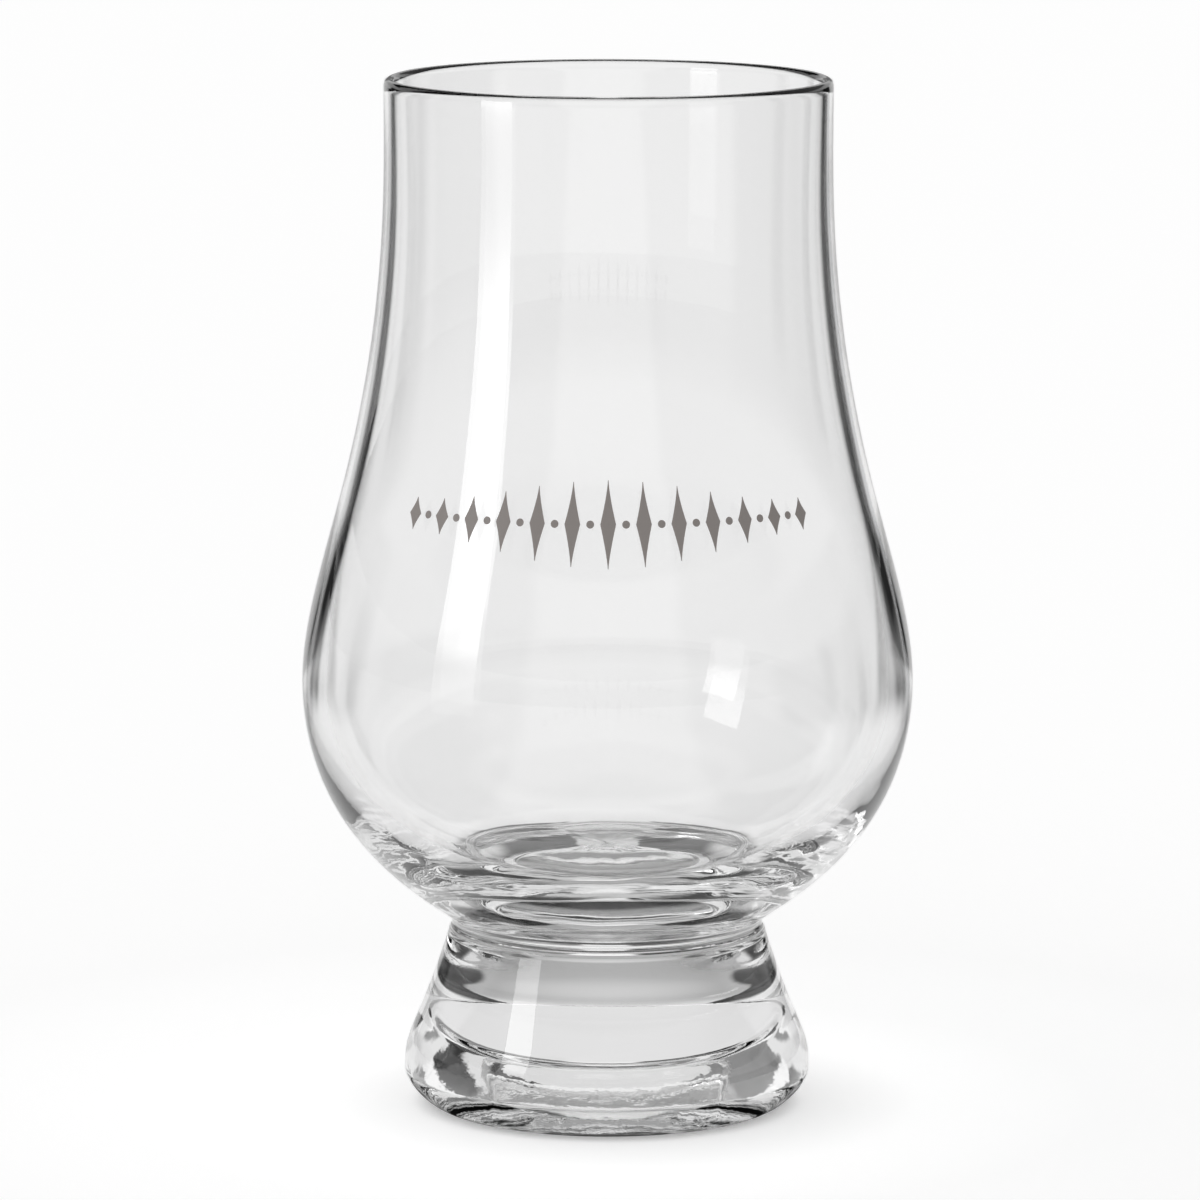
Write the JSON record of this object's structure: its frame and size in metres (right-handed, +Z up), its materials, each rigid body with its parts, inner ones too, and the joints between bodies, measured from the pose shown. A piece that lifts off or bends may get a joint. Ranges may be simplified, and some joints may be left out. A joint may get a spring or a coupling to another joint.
{
  "type": "whisky nosing glass",
  "caption": "Tulip-shaped whisky nosing glass: a thin blown bowl with a thick floor and a narrower mouth, fused at the neck to a short solid flared foot.",
  "frame": {"origin": "centre of the ring that the foot stands on, at the table", "axes": "+Z up the axis of the glass, +X to the right and -Y towards the viewer, where the printed ornament is"},
  "size_m": [0.068, 0.068, 0.115],
  "materials": {
    "bowl_glass": "clear colourless crystal, blown and fire-polished, with a small ornament printed in warm grey",
    "foot_glass": "clear colourless crystal, pressed solid, with the faint ripple of the mould"
  },
  "bodies": {
    "root": {"bowl": "bowl_glass", "foot": "foot_glass"}
  },
  "joints": []
}
